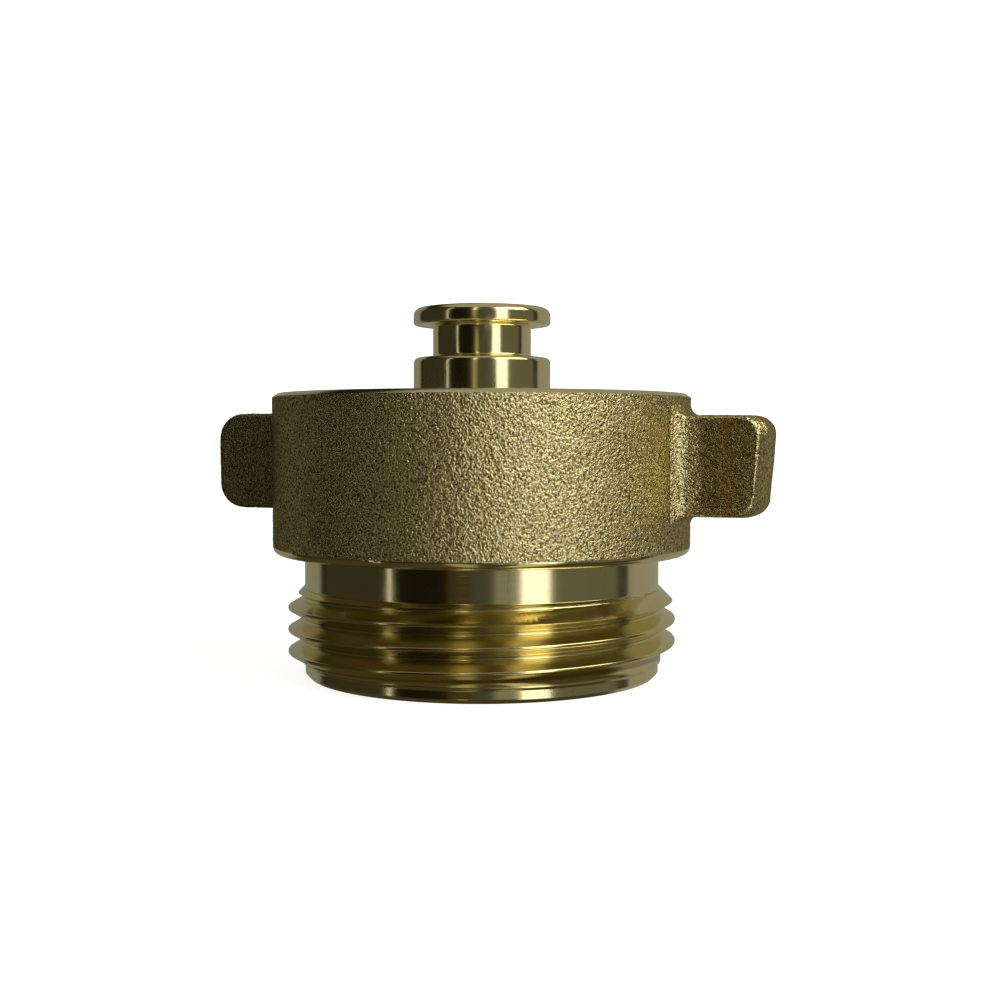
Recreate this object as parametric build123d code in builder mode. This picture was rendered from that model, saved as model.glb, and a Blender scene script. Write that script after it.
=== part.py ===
"""Brass blanking plug for a 1 1/2 inch hose inlet: lug collar, threaded tail and swivelling chain knob.

Millimetres. +Z is up, away from the inlet. The origin is on the axis, in the plane that the plug stands on.
+X runs through the two lugs.
"""
from build123d import *
import os
from math import cos, sin, radians, sqrt, tan

os.makedirs("parts", exist_ok=True)

# ---- coupling thread, American National hose form, 60 degrees, right hand ----
thread_major_r = 50.546 / 2
thread_pitch = 25.4 / 9
thread_crest_flat = thread_pitch / 8
thread_depth = 0.6495 * thread_pitch
flank_angle = 30                       # each side of the ridge, from square to the axis
nipple_length = 15.875                 # collar shoulder down to the end of the tail
neck_relief = 0.34                     # neck and pilot below the thread's root, on radius
neck_length = 4.25                     # plain neck under the shoulder
pilot_length = 1.6                     # plain lead-in below the thread
pilot_chamfer = 0.5
thread_start_angle = 168               # blunt start of the ridge, degrees about +Z from +X
thread_start_lift = 1.343              # middle of the ridge above the pilot, at its start

# ---- lug collar ----
collar_wall = 2.55                     # outside the hub
collar_height = 20.55
collar_top_bevel_width = 0.65
collar_top_bevel_height = 0.5
collar_bottom_chamfer = 0.95
lip_thickness = 3.0                    # inward lip over the crown plate
lip_overlap = 3.0                      # how far the lip reaches over the plate

# ---- lugs ----
lug_projection = 10.75                 # collar wall to lug tip
lug_width = 8.6
lug_bottom_margin = 5.25               # shoulder up to the lug
lug_top_margin = 2.75                  # lug up to the collar's top face
lug_tip_bevel = 1.6                    # in plan, on both corners of the tip
lug_corner_r = 2.7                     # seen from the side
lug_root_r = 1.1

# ---- tail hub, screwed up into the collar ----
hub_step = 1.5                         # hub outside the neck, on radius
tail_wall = 4.1                        # between the neck and the hollow
tail_mouth_chamfer = 0.8
lock_pin_r = 1.0
lock_pin_length = 6.0
lock_pin_count = 2
lock_pin_angle = 90                    # first pin, degrees about +Z from +X

# ---- crown plate and its gasket ----
crown_flange_thickness = 3.0
crown_side_gap = 0.1                   # crown plate inside the collar, all round
crown_boss_edge = 0.3
crown_hub_margin = 1.5                 # crown's hub outside the thrust washer
crown_hub_length = 2.2                 # below the plate's flange
gasket_thickness = 1.5
gasket_inset = 0.6                     # gasket's hole outside the tail's bore

# ---- chain knob ----
knob_flange_r = 8.95
knob_lower_height = 4.55
knob_groove_r = 6.4
knob_groove_height = 4.2
knob_upper_height = 2.25
knob_top_edge_r = 1.0
knob_shoulder_edge_r = 0.7
knob_under_edge_r = 0.35
knob_groove_fillet = 0.45
shank_r = 4.0
shank_bore_gap = 0.05                  # running clearance of the shank, on radius
knob_lift = 0.2                        # knob clear of the crown's face
knob_end_play = 0.05                   # total lift of the swivel between its washers
shank_end_below_nut = 0.8
shank_end_chamfer = 0.5

# ---- washers, seal and nut on the shank ----
thrust_washer_inset = 0.95             # washer inside the knob's flange
thrust_washer_thickness = 0.8
thrust_recess_gap = 0.1
inner_washer_margin = 0.5              # washer outside the nut's corners
inner_washer_thickness = 1.2
washer_hole_gap = 0.12
seal_section_r = 0.7
seal_groove_width = 1.8
seal_groove_depth = 1.45
seal_below_face = 3.4
nut_across_flats = 13.0
nut_height = 7.5
nut_slot_gap = 0.3                     # slot wider than the pin, each side
nut_slot_depth = 2.6
nut_chamfer = 0.6
cotter_wire_r = 0.8
cotter_hole_gap = 0.15                 # hole in the shank larger than the pin, on radius
cotter_eye_r = 1.5
cotter_bend_r = 0.9
cotter_overhang = 0.2                  # straight shaft beyond the nut's corners
cotter_leg_length = 2.6
cotter_leg_angle = 55                  # how far each leg is bent from the pin's line

# ---- modelling ----
same_place = 0.01                      # edges this near to a place are the ones meant

# ---- radii that follow, from the thread outwards and inwards ----
thread_minor_r = thread_major_r - thread_depth
neck_r = thread_minor_r - neck_relief
hub_r = neck_r + hub_step
collar_r = hub_r + collar_wall
lug_reach_r = collar_r + lug_projection
tail_bore_r = neck_r - tail_wall
lip_opening_r = hub_r - lip_overlap
crown_flange_r = hub_r - crown_side_gap
crown_boss_r = lip_opening_r - crown_side_gap
crown_bore_r = shank_r + shank_bore_gap
thrust_washer_r = knob_flange_r - thrust_washer_inset
crown_hub_r = thrust_washer_r + crown_hub_margin
nut_corner_r = nut_across_flats / 2 / cos(radians(30))
inner_washer_r = nut_corner_r + inner_washer_margin
cotter_hole_r = cotter_wire_r + cotter_hole_gap
nut_slot_width = 2 * (cotter_wire_r + nut_slot_gap)

# ---- heights that follow, down from the top of the collar, then up the knob ----
shoulder_z = nipple_length
neck_z = shoulder_z - neck_length
thread_start_z = pilot_length + thread_start_lift
top_z = shoulder_z + collar_height
lug_bottom_z = shoulder_z + lug_bottom_margin
lug_height = collar_height - lug_bottom_margin - lug_top_margin
lip_z = top_z - lip_thickness
crown_bottom_z = lip_z - crown_flange_thickness
crown_hub_z = crown_bottom_z - crown_hub_length
hub_top_z = crown_bottom_z - gasket_thickness
inner_washer_z = crown_hub_z - knob_end_play / 2 - inner_washer_thickness
nut_z = inner_washer_z - nut_height
shank_end_z = nut_z - shank_end_below_nut
cotter_z = nut_z + nut_slot_depth / 2
seal_z = top_z - seal_below_face
knob_z = top_z + knob_lift
thrust_washer_z = knob_z - knob_end_play / 2 - thrust_washer_thickness
groove_z = knob_z + knob_lower_height
upper_z = groove_z + knob_groove_height
knob_top_z = upper_z + knob_upper_height


# ---- lug collar: sand casting, bored and faced ----
with BuildPart() as lug_collar:
    with BuildSketch(Plane.XZ):
        with BuildLine():
            Polyline(
                (lip_opening_r, lip_z),
                (lip_opening_r, top_z),
                (collar_r - collar_top_bevel_width, top_z),
                (collar_r, top_z - collar_top_bevel_height),
                (collar_r, shoulder_z + collar_bottom_chamfer),
                (collar_r - collar_bottom_chamfer, shoulder_z),
                (hub_r, shoulder_z),
                (hub_r, lip_z),
                close=True,
            )
        make_face()
    revolve(axis=Axis.Z)
    lug_root_in = (collar_r + hub_r) / 2
    for side in (1, -1):
        with BuildSketch(Plane.XY.offset(lug_bottom_z)):
            with BuildLine():
                Polyline(
                    (side * lug_root_in, -lug_width / 2),
                    (side * (lug_reach_r - lug_tip_bevel), -lug_width / 2),
                    (side * lug_reach_r, lug_tip_bevel - lug_width / 2),
                    (side * lug_reach_r, lug_width / 2 - lug_tip_bevel),
                    (side * (lug_reach_r - lug_tip_bevel), lug_width / 2),
                    (side * lug_root_in, lug_width / 2),
                    close=True,
                )
            make_face()
        extrude(amount=lug_height)
    lug_tip_edges = lug_collar.edges().filter_by(Axis.Y).filter_by(
        lambda edge: abs(edge.center().X) > lug_reach_r - same_place
    )
    fillet(lug_tip_edges, lug_corner_r)
    lug_root_edges = lug_collar.edges().filter_by_position(
        Axis.Z, lug_bottom_z - same_place, lug_bottom_z + lug_height + same_place
    ).filter_by(
        lambda edge: abs(sqrt(edge.center().X ** 2 + edge.center().Y ** 2) - collar_r) < lug_root_r
    )
    fillet(lug_root_edges, lug_root_r)
    with Locations(Location((0, 0, shoulder_z))):
        with PolarLocations(hub_r, lock_pin_count, start_angle=lock_pin_angle):
            Cylinder(lock_pin_r, lock_pin_length, align=(Align.CENTER, Align.CENTER, Align.MIN),
                     mode=Mode.SUBTRACT)
lug_collar.part.label = "lug_collar"
export_step(lug_collar.part, "parts/lug_collar.step")


# ---- threaded tail: turned, hollow, with the coupling thread ----
ridge_half_crest = thread_crest_flat / 2
ridge_foot_r = thread_minor_r - 0.2
ridge_half_foot = ridge_half_crest + (thread_major_r - ridge_foot_r) * tan(radians(flank_angle))
ridge_rise = neck_z - thread_start_z + thread_pitch / 2
with BuildPart() as thread_ridge:
    with BuildLine(Plane.XY.offset(thread_start_z)) as ridge_path:
        Helix(thread_pitch, ridge_rise, thread_major_r)
    with BuildSketch(Plane(ridge_path.line @ 0, x_dir=(1, 0, 0), z_dir=ridge_path.line % 0)):
        with BuildLine():
            Polyline(
                (ridge_foot_r - thread_major_r, -ridge_half_foot),
                (0, -ridge_half_crest),
                (0, ridge_half_crest),
                (ridge_foot_r - thread_major_r, ridge_half_foot),
                close=True,
            )
        make_face()
    sweep(path=ridge_path.line, is_frenet=True)
    # the top of the thread runs out in a 45 degree chamfer onto the neck
    with BuildSketch(Plane.XZ):
        with BuildLine():
            Polyline(
                (0, 0),
                (thread_major_r + 1, 0),
                (thread_major_r + 1, neck_z - (thread_major_r + 1 - neck_r)),
                (neck_r, neck_z),
                (0, neck_z),
                close=True,
            )
        make_face()
    revolve(axis=Axis.Z, mode=Mode.INTERSECT)

with BuildPart() as threaded_tail:
    with BuildSketch(Plane.XZ):
        with BuildLine():
            Polyline(
                (tail_bore_r + tail_mouth_chamfer, 0),
                (neck_r - pilot_chamfer, 0),
                (neck_r, pilot_chamfer),
                (neck_r, pilot_length),
                (thread_minor_r, pilot_length + (thread_minor_r - neck_r)),
                (thread_minor_r, neck_z - (thread_minor_r - neck_r)),
                (neck_r, neck_z),
                (neck_r, shoulder_z),
                (hub_r, shoulder_z),
                (hub_r, hub_top_z),
                (tail_bore_r, hub_top_z),
                (tail_bore_r, tail_mouth_chamfer),
                close=True,
            )
        make_face()
    revolve(axis=Axis.Z)
    add(thread_ridge.part.rotate(Axis.Z, thread_start_angle))
    with Locations(Location((0, 0, shoulder_z))):
        with PolarLocations(hub_r, lock_pin_count, start_angle=lock_pin_angle):
            Cylinder(lock_pin_r, lock_pin_length, align=(Align.CENTER, Align.CENTER, Align.MIN),
                     mode=Mode.SUBTRACT)
threaded_tail.part.label = "threaded_tail"
export_step(threaded_tail.part, "parts/threaded_tail.step")


# ---- pins across the joint of the collar and the tail ----
with BuildPart() as lock_pins:
    with Locations(Location((0, 0, shoulder_z))):
        with PolarLocations(hub_r, lock_pin_count, start_angle=lock_pin_angle):
            Cylinder(lock_pin_r, lock_pin_length, align=(Align.CENTER, Align.CENTER, Align.MIN))
lock_pins.part.label = "lock_pins"
export_step(lock_pins.part, "parts/lock_pins.step")


# ---- crown plate: turned disc, clamped up under the collar's lip ----
with BuildPart() as crown_plate:
    with BuildSketch(Plane.XZ):
        with BuildLine():
            Polyline(
                (crown_bore_r, crown_hub_z),
                (crown_hub_r, crown_hub_z),
                (crown_hub_r, crown_bottom_z),
                (crown_flange_r, crown_bottom_z),
                (crown_flange_r, lip_z),
                (crown_boss_r, lip_z),
                (crown_boss_r, top_z - crown_boss_edge),
                (crown_boss_r - crown_boss_edge, top_z),
                (thrust_washer_r + thrust_recess_gap, top_z),
                (thrust_washer_r + thrust_recess_gap, thrust_washer_z),
                (crown_bore_r, thrust_washer_z),
                close=True,
            )
        make_face()
    revolve(axis=Axis.Z)
crown_plate.part.label = "crown_plate"
export_step(crown_plate.part, "parts/crown_plate.step")


# ---- flat rubber gasket between the tail and the crown plate ----
with BuildPart() as crown_gasket:
    with BuildSketch(Plane.XY.offset(hub_top_z)):
        Circle(crown_flange_r)
        Circle(tail_bore_r + gasket_inset, mode=Mode.SUBTRACT)
    extrude(amount=gasket_thickness)
crown_gasket.part.label = "crown_gasket"
export_step(crown_gasket.part, "parts/crown_gasket.step")


# ---- thrust washer under the knob ----
with BuildPart() as thrust_washer:
    with BuildSketch(Plane.XY.offset(thrust_washer_z)):
        Circle(thrust_washer_r)
        Circle(shank_r + washer_hole_gap, mode=Mode.SUBTRACT)
    extrude(amount=thrust_washer_thickness)
thrust_washer.part.label = "thrust_washer"
export_step(thrust_washer.part, "parts/thrust_washer.step")


# ---- chain knob: two flanges with the ring groove between them, on a shank ----
with BuildPart() as chain_knob:
    with BuildSketch(Plane.XZ):
        with BuildLine():
            Polyline(
                (0, shank_end_z),
                (shank_r - shank_end_chamfer, shank_end_z),
                (shank_r, shank_end_z + shank_end_chamfer),
                (shank_r, seal_z - seal_groove_width),
                (shank_r - seal_groove_depth, seal_z - seal_groove_width),
                (shank_r - seal_groove_depth, seal_z),
                (shank_r, seal_z),
                (shank_r, knob_z),
                (knob_flange_r, knob_z),
                (knob_flange_r, groove_z),
                (knob_groove_r, groove_z),
                (knob_groove_r, upper_z),
                (knob_flange_r, upper_z),
                (knob_flange_r, knob_top_z),
                (0, knob_top_z),
                close=True,
            )
        make_face()
    revolve(axis=Axis.Z)
    for ring_r, ring_z, edge_r in (
        (knob_flange_r, knob_top_z, knob_top_edge_r),
        (knob_flange_r, groove_z, knob_shoulder_edge_r),
        (knob_flange_r, upper_z, knob_under_edge_r),
        (knob_groove_r, groove_z, knob_groove_fillet),
        (knob_groove_r, upper_z, knob_groove_fillet),
    ):
        ring = chain_knob.edges().filter_by(GeomType.CIRCLE).filter_by_position(
            Axis.Z, ring_z - same_place, ring_z + same_place
        ).filter_by(lambda edge, ring_r=ring_r: abs(edge.radius - ring_r) < same_place)
        fillet(ring, edge_r)
    with Locations(Location((0, 0, cotter_z), (90, 0, 0))):
        Cylinder(cotter_hole_r, 4 * shank_r, mode=Mode.SUBTRACT)
chain_knob.part.label = "chain_knob"
export_step(chain_knob.part, "parts/chain_knob.step")


# ---- rubber ring in the shank's groove ----
with BuildPart() as shank_seal:
    seal_ring_r = shank_r - seal_section_r
    with Locations(Location((0, 0, seal_z - seal_groove_width / 2))):
        Torus(seal_ring_r, seal_section_r)
shank_seal.part.label = "shank_seal"
export_step(shank_seal.part, "parts/shank_seal.step")


# ---- inner washer ----
with BuildPart() as inner_washer:
    with BuildSketch(Plane.XY.offset(inner_washer_z)):
        Circle(inner_washer_r)
        Circle(shank_r + washer_hole_gap, mode=Mode.SUBTRACT)
    extrude(amount=inner_washer_thickness)
inner_washer.part.label = "inner_washer"
export_step(inner_washer.part, "parts/inner_washer.step")


# ---- castle nut on the end of the shank, slots downwards ----
with BuildPart() as castle_nut:
    with BuildSketch(Plane.XY.offset(nut_z)):
        RegularPolygon(nut_corner_r, 6)
        Circle(shank_r, mode=Mode.SUBTRACT)
    extrude(amount=nut_height)
    with BuildSketch(Plane.XY.offset(nut_z)):
        with PolarLocations(0, 3, start_angle=30):
            Rectangle(3 * nut_across_flats, nut_slot_width)
    extrude(amount=nut_slot_depth, mode=Mode.SUBTRACT)
    # the corners are chamfered at both ends, as a turned nut's are
    with BuildSketch(Plane.XZ):
        with BuildLine():
            Polyline(
                (0, nut_z),
                (nut_across_flats / 2, nut_z),
                (nut_corner_r, nut_z + nut_chamfer),
                (nut_corner_r, nut_z + nut_height - nut_chamfer),
                (nut_across_flats / 2, nut_z + nut_height),
                (0, nut_z + nut_height),
                close=True,
            )
        make_face()
    revolve(axis=Axis.Z, mode=Mode.INTERSECT)
castle_nut.part.label = "castle_nut"
export_step(castle_nut.part, "parts/castle_nut.step")


# ---- cotter pin through the nut's slots and the shank: one half-round wire, doubled back at its eye ----
cotter_shaft_half = nut_corner_r + cotter_overhang
leg_run = cotter_leg_length * cos(radians(cotter_leg_angle))
leg_spread = cotter_leg_length * sin(radians(cotter_leg_angle))
with BuildPart() as cotter_pin:
    with BuildLine(Plane.XY.offset(cotter_z)) as cotter_path:
        FilletPolyline(
            (0, -cotter_shaft_half),
            (0, cotter_shaft_half),
            (leg_spread, cotter_shaft_half + leg_run),
            radius=cotter_bend_r,
        )
    with BuildSketch(Plane((0, -cotter_shaft_half, cotter_z), x_dir=(1, 0, 0), z_dir=(0, 1, 0))):
        Circle(cotter_wire_r)
        Rectangle(cotter_wire_r, 2 * cotter_wire_r, align=(Align.MAX, Align.CENTER), mode=Mode.SUBTRACT)
    sweep(path=cotter_path.line)
    mirror(about=Plane.YZ)
    with Locations(Location((0, -cotter_shaft_half - cotter_eye_r + cotter_wire_r / 2, cotter_z))):
        Torus(cotter_eye_r, cotter_wire_r / 2)
cotter_pin.part.label = "cotter_pin"
export_step(cotter_pin.part, "parts/cotter_pin.step")
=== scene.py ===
"""A brass blanking plug for a hose inlet, standing on a pale table in soft window light.

Sizes are in metres. +Z is up and +X runs through the plug's two lugs.
"""
from math import cos, hypot, pi, radians, sin, sqrt, tan

import bpy
from mathutils import Matrix, Vector


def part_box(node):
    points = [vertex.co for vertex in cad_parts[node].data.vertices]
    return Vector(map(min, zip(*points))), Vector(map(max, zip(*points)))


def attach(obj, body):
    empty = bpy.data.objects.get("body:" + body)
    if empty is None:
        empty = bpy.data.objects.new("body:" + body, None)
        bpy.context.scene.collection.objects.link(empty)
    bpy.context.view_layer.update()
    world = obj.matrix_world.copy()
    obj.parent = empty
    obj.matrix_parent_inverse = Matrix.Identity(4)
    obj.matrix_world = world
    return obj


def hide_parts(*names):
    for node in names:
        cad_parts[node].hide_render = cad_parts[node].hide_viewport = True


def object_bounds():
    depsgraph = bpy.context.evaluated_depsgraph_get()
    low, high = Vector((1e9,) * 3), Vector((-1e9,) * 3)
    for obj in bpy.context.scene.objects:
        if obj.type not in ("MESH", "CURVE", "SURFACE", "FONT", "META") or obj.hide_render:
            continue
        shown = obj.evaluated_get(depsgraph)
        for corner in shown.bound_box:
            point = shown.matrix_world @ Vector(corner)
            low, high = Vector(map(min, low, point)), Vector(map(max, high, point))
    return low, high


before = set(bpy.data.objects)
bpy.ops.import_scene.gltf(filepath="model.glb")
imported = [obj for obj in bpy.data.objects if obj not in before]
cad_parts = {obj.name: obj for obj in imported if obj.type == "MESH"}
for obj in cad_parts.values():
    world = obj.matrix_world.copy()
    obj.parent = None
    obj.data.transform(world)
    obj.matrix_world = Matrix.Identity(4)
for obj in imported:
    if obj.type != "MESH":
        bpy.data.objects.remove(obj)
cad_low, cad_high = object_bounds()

MM = 0.001


# ---------------------------------------------------------------- sizes, read from the frame

def top_of(node):
    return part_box(node)[1].z


def foot_of(node):
    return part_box(node)[0].z


def radius_of(node):
    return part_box(node)[1].y


shoulder = foot_of("lug_collar")
rim = top_of("lug_collar")
collar_r = radius_of("lug_collar")
lug_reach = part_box("lug_collar")[1].x
lip_r = collar_r - 5.55 * MM
hub_r = collar_r - 2.55 * MM
crest_r = radius_of("threaded_tail")
knob_r = radius_of("chain_knob")
knob_top = top_of("chain_knob")

RIM_BEVEL_WIDE = 0.65 * MM
RIM_BEVEL_HIGH = 0.5 * MM
SHOULDER_CHAMFER = 0.95 * MM
LIP_THICK = 3.0 * MM

PITCH = 25.4 / 9 * MM
CREST_FLAT = PITCH / 8
ROOT_R = crest_r - 0.6495 * PITCH
NECK_R = ROOT_R - 0.34 * MM
NECK_LONG = 4.25 * MM
PILOT_LONG = 1.6 * MM
END_CHAMFER = 0.5 * MM
BORE_R = NECK_R - 4.1 * MM
MOUTH_CHAMFER = 0.8 * MM
THREAD_START = 2.943 * MM
THREAD_START_TURN = radians(168)
ROOT_HOLLOW = 0.14 * MM
ROOT_DIP = 0.03 * MM
ROUND = 240


# ---------------------------------------------------------------- camera

camera_azimuth = radians(21)
camera_distance = 180.6 * MM
camera_height = 31.3 * MM
camera_pitch = radians(2.76)
camera_yaw = radians(0.75)
camera_roll = radians(0.05)

camera_data = bpy.data.cameras.new("viewer")
camera_data.sensor_width = 36.0
camera_data.lens = 49.5
camera_data.clip_start = 0.01
camera_data.clip_end = 20.0
camera = bpy.data.objects.new("viewer", camera_data)
bpy.context.scene.collection.objects.link(camera)
towards_plug = Vector((-sin(camera_azimuth), cos(camera_azimuth), 0))
camera.location = Vector((0, 0, camera_height)) - towards_plug * camera_distance
camera.rotation_mode = "QUATERNION"
heading = Matrix.Rotation(camera_azimuth - camera_yaw, 4, "Z")
nodding = Matrix.Rotation(pi / 2 - camera_pitch, 4, "X")
rolling = Matrix.Rotation(camera_roll, 4, "Z")
camera.rotation_quaternion = (heading @ nodding @ rolling).to_quaternion()
bpy.context.scene.camera = camera


# ---------------------------------------------------------------- materials, made of nodes

class Recipe:
    """A node tree under construction, with short ways to add and join its nodes."""

    def __init__(self, tree):
        self.tree = tree

    def add(self, kind, **settings):
        node = self.tree.nodes.new(kind)
        for key, value in settings.items():
            setattr(node, key, value)
        return node

    def join(self, value, socket):
        if isinstance(value, bpy.types.NodeSocket):
            self.tree.links.new(value, socket)
        else:
            socket.default_value = value

    def feed(self, node, **values):
        """Sets or joins a node's inputs, named with underscores for spaces."""
        for key, value in values.items():
            self.join(value, node.inputs[key.replace("_", " ")])
        return node

    def maths(self, kind, *values):
        node = self.add("ShaderNodeMath", operation=kind)
        for socket, value in zip(node.inputs, values):
            self.join(value, socket)
        return node.outputs[0]

    def split(self, vector):
        return self.feed(self.add("ShaderNodeSeparateXYZ"), Vector=vector).outputs

    def combine(self, x, y, z):
        return self.feed(self.add("ShaderNodeCombineXYZ"), X=x, Y=y, Z=z).outputs[0]

    def step(self, value, low, high):
        """0 below low, 1 above high, and a soft edge between. high below low turns it round."""
        node = self.add("ShaderNodeMapRange", interpolation_type="SMOOTHSTEP")
        if low < high:
            self.feed(node, Value=value, From_Min=low, From_Max=high)
        else:
            self.feed(node, Value=value, From_Min=high, From_Max=low, To_Min=1.0, To_Max=0.0)
        return node.outputs[0]

    def band(self, value, low, high, soft):
        """1 between low and high, with soft edges outside them."""
        above = self.step(value, low - soft, low)
        below = self.step(value, high + soft, high)
        return self.maths("MULTIPLY", above, below)

    def noise(self, vector, scale, detail=3.0, roughness=0.5):
        node = self.add("ShaderNodeTexNoise")
        self.feed(node, Vector=vector, Scale=scale, Detail=detail, Roughness=roughness)
        return node.outputs["Fac"]

    def ramp(self, value, *stops):
        """A colour ramp. Each stop is (place, (r, g, b)) or (place, grey)."""
        node = self.feed(self.add("ShaderNodeValToRGB"), Fac=value)
        points = node.color_ramp.elements
        while len(points) < len(stops):
            points.new(0.5)
        for point, (place, colour) in zip(points, stops):
            point.position = place
            point.color = (*colour, 1) if isinstance(colour, tuple) else (colour, colour, colour, 1)
        return node.outputs["Color"]

    def blend(self, share, under, over, kind="MIX"):
        node = self.add("ShaderNodeMixRGB", blend_type=kind)
        self.feed(node, Fac=share, Color1=under, Color2=over)
        return node.outputs["Color"]

    def relief(self, height, distance, under=None, strength=1.0):
        node = self.feed(self.add("ShaderNodeBump"), Height=height, Distance=distance, Strength=strength)
        if under is not None:
            self.join(under, node.inputs["Normal"])
        return node.outputs["Normal"]


class Finish(Recipe):
    """A surface material. place is a point's place on its piece, in metres."""

    def __init__(self, name):
        self.material = bpy.data.materials.new(name)
        self.material.use_nodes = True
        super().__init__(self.material.node_tree)
        self.shader = self.tree.nodes["Principled BSDF"]
        self.place = self.add("ShaderNodeTexCoord").outputs["Object"]

    def stretch(self, x, y, z):
        """The place, drawn out or squeezed along each axis."""
        return self.feed(self.add("ShaderNodeMapping"), Vector=self.place, Scale=(x, y, z)).outputs["Vector"]

    def rings(self, fineness):
        """A place that only changes outwards and upwards, for marks left by turning on a lathe."""
        x, y, z = self.split(self.place)
        squares = self.maths("ADD", self.maths("MULTIPLY", x, x), self.maths("MULTIPLY", y, y))
        outwards = self.maths("MULTIPLY", self.maths("SQRT", squares), fineness)
        return self.combine(outwards, self.maths("MULTIPLY", z, fineness), 0.0)


# ---------------------------------------------------------------- table, room and lights

TABLE_SIZE = 6.0
LIGHT_DISTANCE = 0.9
LIGHT_AIM = Vector((0, 0, 25 * MM))


def place_table():
    """A pale laminate top that stays white under the plug and isn't mirrored by it."""
    bpy.ops.object.select_all(action="DESELECT")
    bpy.ops.mesh.primitive_plane_add(size=TABLE_SIZE, location=(0, 0, cad_low.z))
    table = bpy.context.object
    table.name = "table"
    laminate = Finish("white_laminate")
    laminate.feed(laminate.shader, Base_Color=(0.6, 0.6, 0.6, 1), Roughness=0.6,
                  Emission_Color=(1, 1, 1, 1), Emission_Strength=0.9)
    laminate.material.cycles.emission_sampling = "NONE"
    table.data.materials.append(laminate.material)
    table.visible_glossy = False


def place_light(name, bearing, elevation, width, height, watts, colour):
    """A soft panel aimed at the collar. bearing is measured from the camera, to its right."""
    data = bpy.data.lights.new(name, "AREA")
    data.shape = "RECTANGLE"
    data.size = width
    data.size_y = height
    data.energy = watts
    data.color = colour
    panel = bpy.data.objects.new(name, data)
    bpy.context.scene.collection.objects.link(panel)
    turn_angle = camera_azimuth - pi / 2 + radians(bearing)
    up = radians(elevation)
    away = Vector((cos(turn_angle) * cos(up), sin(turn_angle) * cos(up), sin(up)))
    panel.location = LIGHT_AIM + away * LIGHT_DISTANCE
    panel.rotation_mode = "QUATERNION"
    panel.rotation_quaternion = (-away).to_track_quat("-Z", "Y")


LIGHTS = (
    # name, bearing from the camera and elevation in degrees, width and height in metres, watts, colour
    ("window", 33.2, 10, 0.30, 1.3, 1.85, (1.0, 0.99, 0.95)),
    ("skylight", 60, 40, 0.8, 0.4, 2.9, (1.0, 0.92, 0.66)),
    ("door_gap", -59, 10, 0.035, 1.3, 0.16, (1.0, 0.98, 0.9)),
    ("lamp", -12, 32, 0.05, 0.6, 0.13, (1.0, 0.9, 0.6)),
)
ROOM = (
    # what the brass mirrors: bearings from the camera in degrees, soft edge, heights as sines, colour
    ("left_wall", -116, -61, 3, -0.3, 0.9, (0.034, 0.032, 0.018)),
    ("brown_door", -20, -7, 3, -0.3, 0.7, (0.045, 0.032, 0.016)),
    ("grey_wall", -5, 10, 3, -0.3, 0.7, (0.060, 0.060, 0.042)),
    ("curtain", 10, 26, 5, -0.4, -0.07, (0.24, 0.235, 0.19)),
    ("curtain_shade", 13, 26, 3, 0.0, 0.7, (0.085, 0.085, 0.065)),
    ("lamp_strip", -14.5, -9.5, 1.5, 0.02, 0.75, (0.34, 0.32, 0.15)),
    ("right_wall", 43, 95, 4, -0.4, 0.9, (0.125, 0.12, 0.08)),
    ("dark_frame", 96, 102, 2, -0.4, 0.9, (0.045, 0.038, 0.035)),
    ("far_right", 108, 182, 4, -0.6, 0.9, (0.30, 0.29, 0.23)),
    ("far_left", -182, -128, 6, -0.35, 0.5, (0.24, 0.235, 0.19)),
    ("ceiling", -182, 182, 1, 0.86, 1.1, (0.36, 0.34, 0.26)),
    ("window_on_table", 23, 43, 3, -0.9, -0.42, (0.62, 0.55, 0.33)),
    ("lamp_on_table", -18, -6, 3, -0.9, -0.42, (0.38, 0.33, 0.17)),
)
ROOM_DARK = (0.008, 0.007, 0.003, 1)
ROOM_FLOOR = (0.06, 0.048, 0.022, 1)
ROOM_SOFT_HEIGHT = 0.1
PAPER_BRIGHTNESS = 1.4


def light_the_room():
    """White paper behind for the camera, and a dim room for the brass to mirror."""
    world = bpy.data.worlds.new("room")
    world.use_nodes = True
    room = Recipe(world.node_tree)
    way = room.add("ShaderNodeTexCoord").outputs["Generated"]
    facing = room.add("ShaderNodeVectorRotate", rotation_type="Z_AXIS")
    room.feed(facing, Vector=way, Angle=-camera_azimuth)
    x, y, z = room.split(facing.outputs[0])
    bearing = room.maths("ARCTAN2", x, room.maths("MULTIPLY", y, -1.0))
    colour = room.blend(room.step(z, -0.2, -0.5), ROOM_DARK, ROOM_FLOOR)
    for name, left, right, soft, low, high, paint in ROOM:
        share = room.maths("MULTIPLY", room.band(bearing, radians(left), radians(right), radians(soft)),
                           room.band(z, low, high, ROOM_SOFT_HEIGHT))
        colour = room.blend(share, colour, (*paint, 1))
    background = world.node_tree.nodes["Background"]
    room.feed(background, Color=colour, Strength=1.0)
    paper = room.feed(room.add("ShaderNodeBackground"), Color=(1, 1, 1, 1), Strength=PAPER_BRIGHTNESS)
    choose = room.add("ShaderNodeMixShader")
    room.join(room.add("ShaderNodeLightPath").outputs["Is Camera Ray"], choose.inputs[0])
    room.join(background.outputs[0], choose.inputs[1])
    room.join(paper.outputs[0], choose.inputs[2])
    room.join(choose.outputs[0], world.node_tree.nodes["World Output"].inputs["Surface"])
    bpy.context.scene.world = world
    for light in LIGHTS:
        place_light(*light)


place_table()
light_the_room()
bpy.context.scene.view_settings.view_transform = "Standard"


# ---------------------------------------------------------------- finishes

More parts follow.
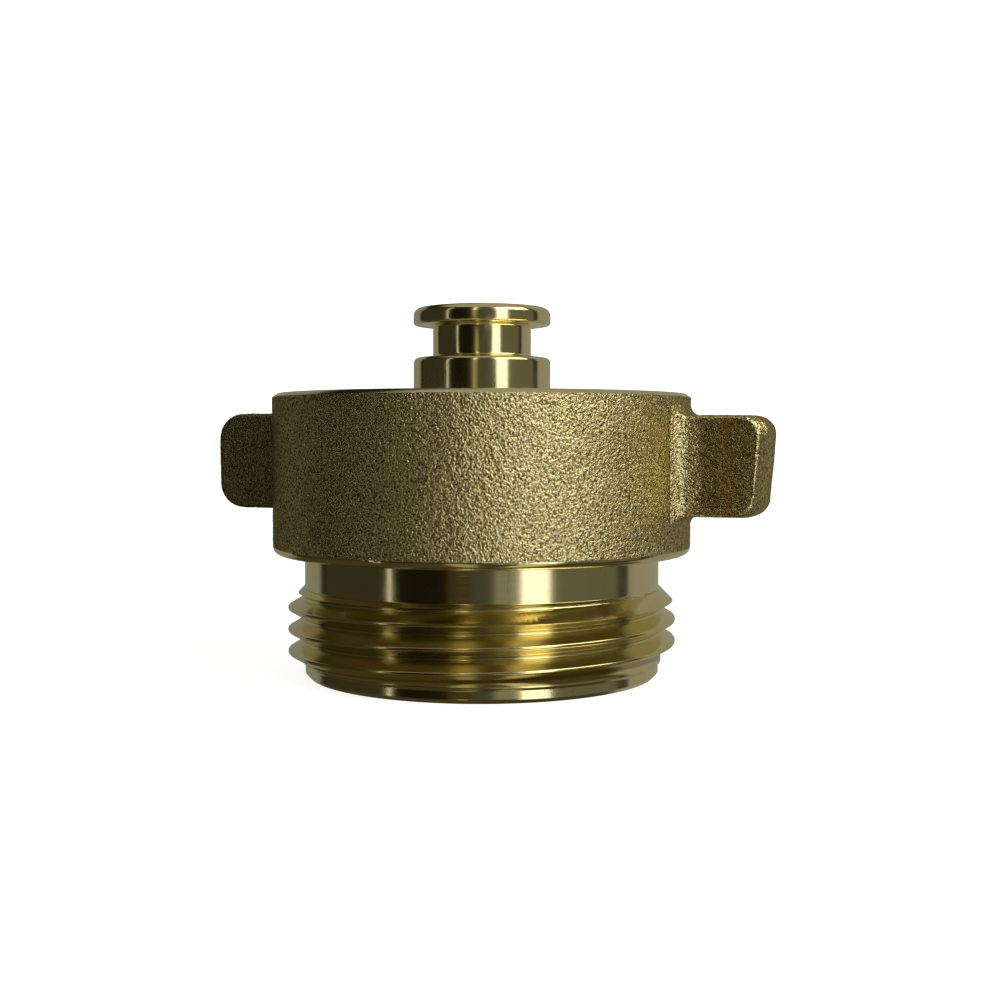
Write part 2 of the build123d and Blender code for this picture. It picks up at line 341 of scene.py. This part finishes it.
def turned_brass():
    """Bright brass from the lathe: fine rings of tool marks, a little haze and a few rubs."""
    finish = Finish("turned_brass")
    tool_marks = finish.noise(finish.rings(9000), 1.0, 2.0, 0.6)
    feed_marks = finish.noise(finish.rings(2600), 1.0, 1.0)
    haze = finish.noise(finish.place, 170, 3.0)
    rubs = finish.noise(finish.stretch(2500, 2500, 500), 1.0, 3.0)
    colour = finish.ramp(haze, (0.3, (0.80, 0.72, 0.41)), (0.7, (0.87, 0.80, 0.50)))
    colour = finish.blend(finish.ramp(rubs, (0.66, 0.0), (0.74, 0.35)), colour, (0.55, 0.42, 0.20, 1))
    finish.feed(finish.shader, Base_Color=colour, Metallic=1.0,
                Roughness=finish.ramp(haze, (0.25, 0.12), (0.75, 0.17)),
                Normal=finish.relief(tool_marks, 0.003 * MM, finish.relief(feed_marks, 0.006 * MM)))
    return finish.material


def threaded_brass():
    """The thread's flanks, left duller and yellower by the threading tool."""
    finish = Finish("threaded_brass")
    chatter = finish.noise(finish.stretch(900, 900, 5000), 1.0, 2.0, 0.6)
    haze = finish.noise(finish.place, 300, 3.0)
    colour = finish.ramp(haze, (0.3, (0.80, 0.70, 0.36)), (0.7, (0.86, 0.77, 0.43)))
    finish.feed(finish.shader, Base_Color=colour, Metallic=1.0,
                Roughness=finish.ramp(haze, (0.25, 0.14), (0.75, 0.19)),
                Normal=finish.relief(chatter, 0.005 * MM))
    return finish.material


def cast_brass():
    """Shot-blasted casting: dull and brownish in the hollows, brighter on the grains.

    The left side is darkened by painted shade, and the worn right lug is smoother, with a yellow stain on its front.
    """
    finish = Finish("cast_brass")
    grain = finish.noise(finish.place, 3500, 2.0, 0.55)
    crumbs = finish.noise(finish.place, 8000, 2.0, 0.6)
    patch = finish.noise(finish.place, 110, 3.0)
    colour = finish.ramp(grain, (0.36, (0.22, 0.16, 0.05)), (0.47, (0.86, 0.72, 0.37)),
                         (0.58, (1.0, 0.93, 0.60)))
    colour = finish.blend(finish.ramp(patch, (0.48, 0.0), (0.72, 0.3)), colour, (0.40, 0.31, 0.12, 1))
    x, y, z = finish.split(finish.place)
    # painted shade: colour darkened towards -X on the collar's left side and the left lug, which the light from the
    # right leaves in shadow
    painted_left_shade = finish.maths("MULTIPLY", finish.step(x, -14 * MM, -25 * MM), 0.72)
    colour = finish.blend(painted_left_shade, colour, (0.17, 0.13, 0.055, 1))
    blotch = finish.noise(finish.place, 450, 3.0)
    stain_strip = finish.band(x, 32.9 * MM, 33.3 * MM, 1.8 * MM)
    stain = finish.maths("MULTIPLY", stain_strip, finish.step(y, -2 * MM, -4 * MM))
    stain = finish.maths("MULTIPLY", stain, finish.ramp(blotch, (0.35, 0.2), (0.62, 0.75)))
    colour = finish.blend(stain, colour, (0.74, 0.48, 0.10, 1))
    right_lug = finish.step(x, 28 * MM, 31 * MM)
    worn = finish.maths("SUBTRACT", 1.0, finish.maths("MULTIPLY", right_lug, 0.4))
    finish.feed(finish.shader, Base_Color=colour, Metallic=1.0,
                Roughness=finish.ramp(grain, (0.36, 0.30), (0.6, 0.15)),
                Specular_Tint=(0.45, 0.4, 0.3, 1),
                Normal=finish.relief(crumbs, 0.03 * MM, finish.relief(grain, 0.19 * MM, strength=worn)))
    return finish.material


def black_rubber():
    """Seal rubber with a faint grey bloom."""
    finish = Finish("black_rubber")
    bloom = finish.noise(finish.place, 900, 3.0)
    finish.feed(finish.shader, Base_Color=finish.ramp(bloom, (0.3, 0.012), (0.75, 0.03)),
                Roughness=finish.ramp(bloom, (0.3, 0.55), (0.7, 0.75)),
                Normal=finish.relief(bloom, 0.01 * MM))
    return finish.material


def drawn_steel():
    """Pin steel, with the lines of the drawing die."""
    finish = Finish("drawn_steel")
    lines = finish.noise(finish.stretch(8000, 200, 8000), 1.0, 2.0, 0.6)
    colour = finish.ramp(lines, (0.3, (0.42, 0.42, 0.41)), (0.7, (0.6, 0.6, 0.58)))
    finish.feed(finish.shader, Base_Color=colour, Metallic=1.0,
                Roughness=finish.ramp(lines, (0.3, 0.22), (0.7, 0.38)),
                Normal=finish.relief(lines, 0.004 * MM))
    return finish.material


def stamped_bronze():
    """Washer bronze, mottled and half dull."""
    finish = Finish("stamped_bronze")
    mottle = finish.noise(finish.place, 700, 4.0)
    colour = finish.ramp(mottle, (0.3, (0.34, 0.2, 0.09)), (0.7, (0.5, 0.33, 0.16)))
    finish.feed(finish.shader, Base_Color=colour, Metallic=1.0,
                Roughness=finish.ramp(mottle, (0.3, 0.28), (0.7, 0.42)),
                Normal=finish.relief(mottle, 0.01 * MM))
    return finish.material


TURNED = turned_brass()
THREADED = threaded_brass()
CAST = cast_brass()
RUBBER = black_rubber()
STEEL = drawn_steel()
BRONZE = stamped_bronze()


# ---------------------------------------------------------------- modelling by hand

def start_fresh():
    """Leaves edit mode and lets go of everything."""
    if bpy.context.object and bpy.context.object.mode != "OBJECT":
        bpy.ops.object.mode_set(mode="OBJECT")
    bpy.ops.object.select_all(action="DESELECT")


def pick(piece, wanted, kind="vertices"):
    """Selects a piece's vertices, edges or faces for which wanted(element) is true, and goes to edit mode."""
    bpy.ops.object.mode_set(mode="OBJECT")
    mesh = piece.data
    for group in (mesh.vertices, mesh.edges, mesh.polygons):
        group.foreach_set("select", [False] * len(group))
    elements = {"vertices": mesh.vertices, "edges": mesh.edges, "faces": mesh.polygons}[kind]
    for element in elements:
        element.select = wanted(element)
    bpy.context.tool_settings.mesh_select_mode = [kind == name for name in ("vertices", "edges", "faces")]
    bpy.ops.object.mode_set(mode="EDIT")


def apply_modifiers(piece):
    bpy.ops.object.mode_set(mode="OBJECT")
    bpy.context.view_layer.objects.active = piece
    for modifier in list(piece.modifiers):
        bpy.ops.object.modifier_apply(modifier=modifier.name)


def name_piece(piece, name):
    piece.name = name
    piece.data.name = name


def set_in_mesh():
    """Moves a piece's place, turn and size into its mesh."""
    bpy.ops.object.transform_apply(location=True, rotation=True, scale=True)


def face_outwards():
    """Turns every face of the piece in edit mode outwards, and leaves edit mode."""
    bpy.ops.mesh.select_all(action="SELECT")
    bpy.ops.mesh.normals_make_consistent(inside=False)
    bpy.ops.object.mode_set(mode="OBJECT")


def draw_out(step, stretch, centre):
    """Extrudes what is selected by a step, and stretches it about a centre."""
    bpy.ops.mesh.extrude_region_move(TRANSFORM_OT_translate={"value": step})
    bpy.ops.transform.resize(value=stretch, center_override=centre)


def turn(name, outline, segments, hollow=True):
    """Turns a piece on the lathe: a circle drawn out from ring to ring along an outline of (radius, height).

    A hollow piece's last ring is joined to its first, and a solid piece is closed by a disc at each end.
    """
    start_fresh()
    radius, height = outline[0]
    bpy.ops.mesh.primitive_circle_add(vertices=segments, radius=radius, location=(0, 0, height))
    piece = bpy.context.object
    name_piece(piece, name)
    set_in_mesh()
    bpy.context.tool_settings.mesh_select_mode = (True, False, False)
    bpy.ops.object.mode_set(mode="EDIT")
    bpy.ops.mesh.select_all(action="SELECT")
    if not hollow:
        bpy.ops.mesh.edge_face_add()
    for next_radius, next_height in outline[1:]:
        draw_out((0, 0, next_height - height), (next_radius / radius, next_radius / radius, 1), (0, 0, next_height))
        radius, height = next_radius, next_height
    if hollow:
        bpy.ops.mesh.select_all(action="DESELECT")
        bpy.ops.mesh.select_non_manifold()
        bpy.ops.mesh.bridge_edge_loops()
    face_outwards()
    return piece


def corner(centre, radius, start, stop, steps):
    """Points of an arc for an outline, from one angle in degrees to another."""
    points = []
    for step in range(steps + 1):
        angle = radians(start + (stop - start) * step / steps)
        points.append((centre[0] + radius * cos(angle), centre[1] + radius * sin(angle)))
    return points


def finish_piece(piece, body, stands_for, angle=28, weighted=False):
    """Shades a piece, and says what it rides on and which CAD nodes it stands for."""
    start_fresh()
    piece.select_set(True)
    bpy.context.view_layer.objects.active = piece
    bpy.ops.object.shade_smooth_by_angle(angle=radians(angle))
    if weighted:
        even = piece.modifiers.new("broad_faces_stay_flat", "WEIGHTED_NORMAL")
        even.keep_sharp = True
        apply_modifiers(piece)
    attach(piece, body)
    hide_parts(*stands_for)


# ---------------------------------------------------------------- the collar casting

GRAIN_CELL = 0.2 * MM
SKIN_DEPTH = 0.25 * MM


def grain_weights(piece, weight_of):
    """Marks the cast skin: the vertices that take the sand grain, and how much of it."""
    group = piece.vertex_groups.new(name="cast_skin")
    for vertex in piece.data.vertices:
        weight = weight_of(vertex.co)
        if weight > 0:
            group.add([vertex.index], weight, "REPLACE")


def roughen(piece):
    """Raises the sand grain of the casting on the vertices of its cast skin."""
    pebble = bpy.data.textures.new("pebble", "VORONOI")
    pebble.noise_scale = 0.50 * MM
    crumb = bpy.data.textures.new("crumb", "CLOUDS")
    crumb.noise_scale = 0.30 * MM
    crumb.noise_depth = 1
    swell = bpy.data.textures.new("swell", "CLOUDS")
    swell.noise_scale = 4 * MM
    swell.noise_depth = 1
    for texture, amount in ((pebble, -0.06 * MM), (crumb, 0.09 * MM), (swell, 0.08 * MM)):
        displace = piece.modifiers.new(texture.name, "DISPLACE")
        displace.texture = texture
        displace.texture_coords = "LOCAL"
        displace.vertex_group = "cast_skin"
        displace.strength = amount
        displace.mid_level = 0.5
    apply_modifiers(piece)
    piece.vertex_groups.clear()


def cast_collar():
    """The collar's ring, turned bright on its ends and left rough from the sand on its wall."""
    low, high = shoulder + SHOULDER_CHAMFER, rim - RIM_BEVEL_HIGH
    outline = [
        (hub_r, shoulder),
        *corner((collar_r - SHOULDER_CHAMFER, low), SHOULDER_CHAMFER, -90, 0, 6),
        (collar_r, high),
        (collar_r - RIM_BEVEL_WIDE, rim - 0.04 * MM),
        (collar_r - RIM_BEVEL_WIDE - 0.12 * MM, rim),
        (lip_r + 0.25 * MM, rim),
        (lip_r, rim - 0.25 * MM),
        (lip_r, rim - LIP_THICK),
        (hub_r, rim - LIP_THICK),
    ]
    around = int(2 * pi * collar_r / GRAIN_CELL)
    collar = turn("collar_casting", outline, around)
    inside = 0.01 * MM

    def is_wall_upright(edge):
        a, b = (collar.data.vertices[i].co for i in edge.vertices)
        return abs(a.z - b.z) > (high - low) / 2 and hypot(a.x, a.y) > collar_r - inside

    pick(collar, is_wall_upright, "edges")
    bpy.ops.mesh.subdivide(number_cuts=int((high - low) / GRAIN_CELL))
    bpy.ops.object.mode_set(mode="OBJECT")

    def skin(point):
        if hypot(point.x, point.y) < collar_r - 0.3 * MM:
            return 0.0
        from_foot = (point.z - low + SKIN_DEPTH) / (2 * SKIN_DEPTH)
        from_rim = (high - point.z) / SKIN_DEPTH
        return max(0.0, min(1.0, from_foot, from_rim))

    grain_weights(collar, skin)
    collar.data.materials.append(TURNED)
    collar.data.materials.append(CAST)
    for face in collar.data.polygons:
        middle = face.center
        is_cast = hypot(middle.x, middle.y) > collar_r - SKIN_DEPTH and low < middle.z < high
        face.material_index = 1 if is_cast else 0
    roughen(collar)
    finish_piece(collar, "plug_body", ["lug_collar"], 40)


LUG_WIDE = 8.6 * MM
LUG_FOOT = shoulder + 5.25 * MM
LUG_TOP = rim - 2.75 * MM
LUG_LAYERS = (
    # each layer's place across the lug, how far its tip stands back, and how much lower it is, all in mm
    (-LUG_WIDE / 2 / MM, 1.4, 0.6),
    (-4.0, 1.05, 0.25),
    (-2.6, 0.3, 0),
    (-0.9, 0, 0),
    (0.9, 0, 0),
    (3.1, 0.3, 0),
    (4.0, 0.8, 0.25),
    (LUG_WIDE / 2 / MM, 1.2, 0.6),
)
ROOT_FLARE = 1.4 * MM
ROOT_SUNK = 1.0 * MM
FLARE_STEPS = 6


def lug_blank(top, reach, corner_size, foot_back):
    """One lug: its outline built up in layers from one broad face to the other, its root flared onto the collar."""
    start_fresh()
    root_x = collar_r + ROOT_FLARE
    high = top - LUG_FOOT
    middle = (top + LUG_FOOT) / 2
    close = 0.01 * MM
    layers = [(across * MM, reach - back * MM, high - lower * MM) for across, back, lower in LUG_LAYERS]
    y, tip, tall = layers[0]
    bpy.ops.mesh.primitive_plane_add(size=1, location=((root_x + tip) / 2, y, middle), rotation=(pi / 2, 0, 0))
    lug = bpy.context.object
    lug.scale = (tip - root_x, tall, 1)
    set_in_mesh()
    pick(lug, lambda vertex: vertex.co.x > tip - close)
    bpy.ops.mesh.bevel(offset=corner_size, segments=8, affect="VERTICES")
    bpy.ops.mesh.select_all(action="SELECT")
    for next_y, next_tip, next_tall in layers[1:]:
        stretch = ((next_tip - root_x) / (tip - root_x), 1, next_tall / tall)
        draw_out((0, next_y - y, 0), stretch, (root_x, next_y, middle))
        y, tip, tall = next_y, next_tip, next_tall
    face_outwards()
    # the foot of the tip stands back a little
    for share in (0.62, 0.4, 0.2):
        pick(lug, lambda vertex: vertex.co.x > root_x + 4 * MM and vertex.co.z < LUG_FOOT + share * high)
        bpy.ops.transform.translate(value=(-foot_back / 3, 0, 0))
    # the broad faces are a little hollow
    pick(lug, lambda face: abs(face.normal.y) > 0.99, "faces")
    bpy.ops.mesh.inset(thickness=1.3 * MM, depth=-0.15 * MM)
    # the root, drawn in towards the collar in a hollow flare
    pick(lug, lambda face: face.normal.x < -0.99, "faces")
    x, wide, tall = root_x, LUG_WIDE, high
    rings = []
    for step in range(1, FLARE_STEPS + 1):
        angle = pi / 2 * step / FLARE_STEPS
        out = 2 * ROOT_FLARE * (1 - cos(angle))
        next_x = root_x - ROOT_FLARE * sin(angle)
        draw_out((next_x - x, 0, 0), (1, (LUG_WIDE + out) / wide, (high + out) / tall), (next_x, 0, middle))
        x, wide, tall = next_x, LUG_WIDE + out, high + out
        rings.append((x, step / FLARE_STEPS))
    inner_x = x - ROOT_SUNK
    bpy.ops.mesh.extrude_region_move(TRANSFORM_OT_translate={"value": (inner_x - x, 0, 0)})
    rings.append((inner_x, 1.0))
    for cut in range(-3, 4):
        bpy.ops.mesh.select_all(action="SELECT")
        bpy.ops.mesh.bisect(plane_co=(0, cut * 1.3 * MM, 0), plane_no=(0, 1, 0))
    bpy.ops.object.mode_set(mode="OBJECT")
    # the flare follows the round wall of the collar
    for ring_x, share in rings:
        sides = sorted({round(v.co.y, 7) for v in lug.data.vertices if abs(v.co.x - ring_x) < close})
        moves = []
        for side in sides:
            chosen = {v.index for v in lug.data.vertices
                      if abs(v.co.x - ring_x) < close and abs(v.co.y - side) < close}
            moves.append((chosen, share * (sqrt(collar_r ** 2 - side ** 2) - collar_r)))
        for chosen, shift in moves:
            pick(lug, lambda vertex: vertex.index in chosen)
            bpy.ops.transform.translate(value=(shift, 0, 0))
    face_outwards()
    remesh = lug.modifiers.new("even_cells", "REMESH")
    remesh.mode = "VOXEL"
    remesh.voxel_size = GRAIN_CELL
    smooth = lug.modifiers.new("sand_soft", "SMOOTH")
    smooth.factor = 0.5
    smooth.iterations = 2
    apply_modifiers(lug)
    return lug


def cast_lugs():
    """The two wrench lugs. The sand mould gave each its own height, reach and corners."""
    right = lug_blank(top=LUG_TOP - 0.1 * MM, reach=lug_reach + 0.25 * MM, corner_size=2.2 * MM, foot_back=0.65 * MM)
    left = lug_blank(top=LUG_TOP + 0.35 * MM, reach=lug_reach, corner_size=3.2 * MM, foot_back=0.05 * MM)
    left.rotation_euler.z = pi
    set_in_mesh()
    for lug, name in ((right, "lug_right"), (left, "lug_left")):
        name_piece(lug, name)
        grain_weights(lug, lambda point: 1.0)
        lug.data.materials.clear()
        lug.data.materials.append(CAST)
        roughen(lug)
        finish_piece(lug, "plug_body", ["lug_collar"], 60)


# ---------------------------------------------------------------- the threaded tail

def combine(piece, tool, operation):
    """Cuts, joins or trims a piece with another, which is used up."""
    modifier = piece.modifiers.new(operation, "BOOLEAN")
    modifier.operation = operation
    modifier.solver = "EXACT"
    modifier.object = tool
    apply_modifiers(piece)
    bpy.data.objects.remove(tool, do_unlink=True)


def ridge_section():
    """Half the width of the thread's ridge at each radius, from its rounded crest to its hollow foot."""
    flank = tan(radians(30))
    corner_half = CREST_FLAT / 2 + (crest_r - ROOT_R) * flank
    foot_half = corner_half + ROOT_HOLLOW * flank + ROOT_DIP * flank
    section = [
        (crest_r, 0.45 * CREST_FLAT / 2),
        (crest_r - 0.03 * MM, 0.85 * CREST_FLAT / 2),
        (crest_r - 0.10 * MM, CREST_FLAT / 2 + 0.10 * MM * flank),
    ]
    for angle in (60, 48, 36, 18):
        section.append((ROOT_R - ROOT_DIP + ROOT_HOLLOW * (1 - cos(radians(angle))),
                        foot_half - ROOT_HOLLOW * sin(radians(angle))))
    section.append((ROOT_R - 0.2 * MM, section[-1][1]))
    return section


def wind_thread():
    """One ridge wound up the tail: its section goes round on a screw, and its ends are closed."""
    neck_foot = shoulder - NECK_LONG
    steps = round(ROUND * ((neck_foot - THREAD_START) / PITCH + 0.5))
    turns = steps / ROUND
    section = ridge_section()
    (crest, crest_half), (radius, half) = section[:2]
    start_fresh()
    bpy.ops.mesh.primitive_plane_add(
        size=1, location=((crest + radius) / 2, 0, THREAD_START), rotation=(pi / 2, 0, 0))
    ridge = bpy.context.object
    name_piece(ridge, "thread_ridge")
    ridge.scale = (crest - radius, 2 * half, 1)
    set_in_mesh()
    middle_r = (crest + radius) / 2
    pick(ridge, lambda vertex: vertex.co.x > middle_r)
    bpy.ops.transform.resize(value=(1, 1, crest_half / half), center_override=(crest, 0, THREAD_START))
    pick(ridge, lambda vertex: vertex.co.x < middle_r)
    for next_radius, next_half in section[2:]:
        draw_out((next_radius - radius, 0, 0), (1, 1, next_half / half), (next_radius, 0, THREAD_START))
        radius, half = next_radius, next_half
    bpy.ops.mesh.select_all(action="SELECT")
    bpy.ops.mesh.dissolve_faces()
    bpy.ops.mesh.delete(type="ONLY_FACE")
    bpy.ops.object.mode_set(mode="OBJECT")
    ridge.rotation_euler.z = THREAD_START_TURN
    set_in_mesh()
    screw = ridge.modifiers.new("wind", "SCREW")
    screw.axis = "Z"
    screw.angle = 2 * pi * turns
    screw.screw_offset = PITCH * turns
    screw.iterations = 1
    screw.steps = steps
    screw.render_steps = steps
    apply_modifiers(ridge)
    bpy.ops.object.mode_set(mode="EDIT")
    bpy.ops.mesh.select_all(action="SELECT")
    bpy.ops.mesh.fill_holes(sides=0)
    face_outwards()
    # a cone trims the ridge's end down to the neck
    reach = crest_r + 1 * MM
    cone_foot = neck_foot + 0.015 * MM
    sunk = 0.3 * MM
    envelope = turn("run_out", [
        (1 * MM, 0), (reach, 0), (reach, cone_foot - (reach - NECK_R)), (NECK_R - sunk, cone_foot + sunk),
        (1 * MM, cone_foot + sunk)], ROUND)
    combine(ridge, envelope, "INTERSECT")
    return ridge


TOOL_FEED = 0.27 * MM
TOOL_MARK_DEEP = 0.028 * MM


def turn_tail():
    """The tail: a plain pilot with the tool's rings on it, the thread, a neck and the hub inside the collar."""
    neck_foot = shoulder - NECK_LONG
    pilot = []
    for ring in range(int((PILOT_LONG - END_CHAMFER) / TOOL_FEED)):
        height = END_CHAMFER + ring * TOOL_FEED
        pilot.append((NECK_R, height + 0.03 * MM))
        pilot.append((NECK_R - TOOL_MARK_DEEP, height + TOOL_FEED / 2))
    step = ROOT_R - NECK_R
    outline = [
        (BORE_R + MOUTH_CHAMFER, 0),
        (NECK_R - END_CHAMFER, 0),
        *pilot,
        (NECK_R, PILOT_LONG),
        (ROOT_R, PILOT_LONG + step),
        (ROOT_R, neck_foot - step),
        (NECK_R + 0.03 * MM, neck_foot - 0.03 * MM),
        (NECK_R, neck_foot + 0.04 * MM),
        (NECK_R, shoulder),
        (hub_r, shoulder),
        (hub_r, top_of("threaded_tail")),
        (BORE_R, top_of("threaded_tail")),
        (BORE_R, MOUTH_CHAMFER),
    ]
    tail = turn("tail_turning", outline, ROUND)
    combine(tail, wind_thread(), "UNION")
    tail.data.materials.clear()
    tail.data.materials.append(TURNED)
    tail.data.materials.append(THREADED)
    for face in tail.data.polygons:
        is_outside = hypot(*face.center.xy) > ROOT_R - 0.1 * MM
        face.material_index = 1 if is_outside and PILOT_LONG < face.center.z < neck_foot - step else 0
    finish_piece(tail, "plug_body", ["threaded_tail"], 32, weighted=True)


# ---------------------------------------------------------------- the crown plate and the knob

SHANK_R = 4.0 * MM
GROOVE_R = 6.4 * MM
CROWN_BOSS_R = lip_r - 0.1 * MM
RECESS_R = 8.1 * MM
CROWN_HUB_R = 9.5 * MM
CROWN_EASE = 0.2 * MM


def turn_crown():
    """The plate that closes the top, faced with wide tool marks, with a recess for the thrust washer."""
    plate_foot, plate_top = foot_of("crown_plate"), top_of("crown_plate")
    lip_foot = rim - LIP_THICK
    flange_foot = lip_foot - 3.0 * MM
    recess = foot_of("thrust_washer")
    shallow = 0.03 * MM
    marks = []
    mark_r = CROWN_BOSS_R - 1.0 * MM
    while mark_r > RECESS_R + 1.2 * MM:
        marks += [(mark_r, plate_top), (mark_r - 0.2 * MM, plate_top - shallow),
                  (mark_r - 0.4 * MM, plate_top)]
        mark_r -= 1.3 * MM
    outline = [
        (SHANK_R + 0.05 * MM, plate_foot),
        (CROWN_HUB_R - CROWN_EASE, plate_foot),
        (CROWN_HUB_R, plate_foot + CROWN_EASE),
        (CROWN_HUB_R, flange_foot),
        (hub_r - 0.1 * MM - CROWN_EASE, flange_foot),
        (hub_r - 0.1 * MM, flange_foot + CROWN_EASE),
        (hub_r - 0.1 * MM, lip_foot),
        (CROWN_BOSS_R, lip_foot),
        *corner((CROWN_BOSS_R - 0.3 * MM, plate_top - 0.3 * MM), 0.3 * MM, 0, 90, 4),
        *marks,
        (RECESS_R + 0.12 * MM, plate_top),
        (RECESS_R, plate_top - 0.12 * MM),
        (RECESS_R, recess),
        (SHANK_R + 0.05 * MM, recess),
    ]
    crown = turn("crown_turning", outline, ROUND)
    crown.data.materials.append(TURNED)
    finish_piece(crown, "plug_body", ["crown_plate"])


KNOB_GAP = 0.2 * MM
KNOB_LOWER_HIGH = 4.55 * MM
KNOB_GROOVE_HIGH = 4.2 * MM
COTTER_HOLE_R = 0.95 * MM


def turn_knob():
    """The knob with its chain groove, and its shank with the seal's groove and the split pin's hole."""
    knob_foot = rim + KNOB_GAP
    groove_foot = knob_foot + KNOB_LOWER_HIGH
    groove_top = groove_foot + KNOB_GROOVE_HIGH
    shank_end = foot_of("chain_knob")
    seal_top = rim - 3.4 * MM
    seal_foot = seal_top - 1.8 * MM
    seal_floor = SHANK_R - 1.45 * MM
    outline = [
        (SHANK_R - 0.5 * MM, shank_end),
        (SHANK_R, shank_end + 0.5 * MM),
        (SHANK_R, seal_foot),
        (seal_floor, seal_foot),
        (seal_floor, seal_top),
        (SHANK_R, seal_top),
        (SHANK_R, knob_foot),
        (knob_r - 0.15 * MM, knob_foot),
        (knob_r, knob_foot + 0.15 * MM),
        *corner((knob_r - 0.7 * MM, groove_foot - 0.7 * MM), 0.7 * MM, 0, 90, 8),
        *corner((GROOVE_R + 0.45 * MM, groove_foot + 0.45 * MM), 0.45 * MM, 270, 180, 6),
        *corner((GROOVE_R + 0.45 * MM, groove_top - 0.45 * MM), 0.45 * MM, 180, 90, 6),
        *corner((knob_r - 0.35 * MM, groove_top + 0.35 * MM), 0.35 * MM, 270, 360, 6),
        *corner((knob_r - 1.0 * MM, knob_top - 1.0 * MM), 1.0 * MM, 0, 90, 10),
        (5.0 * MM, knob_top),
        (4.8 * MM, knob_top - 0.02 * MM),
        (2.0 * MM, knob_top - 0.02 * MM),
        (0.5 * MM, knob_top - 0.02 * MM),
        (0.1 * MM, knob_top - 0.3 * MM),
    ]
    knob = turn("knob_turning", outline, 160, hollow=False)
    start_fresh()
    cotter_low, cotter_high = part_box("cotter_pin")
    bpy.ops.mesh.primitive_cylinder_add(
        vertices=40, radius=COTTER_HOLE_R, depth=4 * SHANK_R, rotation=(pi / 2, 0, 0),
        location=(0, 0, (cotter_low.z + cotter_high.z) / 2))
    combine(knob, bpy.context.object, "DIFFERENCE")
    knob.data.materials.clear()
    knob.data.materials.append(TURNED)
    finish_piece(knob, "knob", ["chain_knob"])


PIN_SUNK = 0.12 * MM


def set_lock_pins():
    """The two pins across the joint of collar and tail, driven just under the surface."""
    low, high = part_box("lock_pins")
    for side, name in ((1, "lock_pin_back"), (-1, "lock_pin_front")):
        start_fresh()
        bpy.ops.mesh.primitive_cylinder_add(
            vertices=48, radius=high.x, depth=high.z - low.z - 2 * PIN_SUNK,
            location=(0, side * hub_r, (low.z + high.z) / 2))
        pin = bpy.context.object
        name_piece(pin, name)
        set_in_mesh()
        pin.data.materials.append(STEEL)
        finish_piece(pin, "plug_body", ["lock_pins"])


# ---------------------------------------------------------------- the plug put together

cast_collar()
cast_lugs()
turn_tail()
turn_crown()
turn_knob()
set_lock_pins()

for node, material in (
    ("castle_nut", TURNED), ("crown_gasket", RUBBER), ("shank_seal", RUBBER),
    ("cotter_pin", STEEL), ("thrust_washer", BRONZE), ("inner_washer", BRONZE),
):
    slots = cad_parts[node].data.materials
    slots.clear()
    slots.append(material)
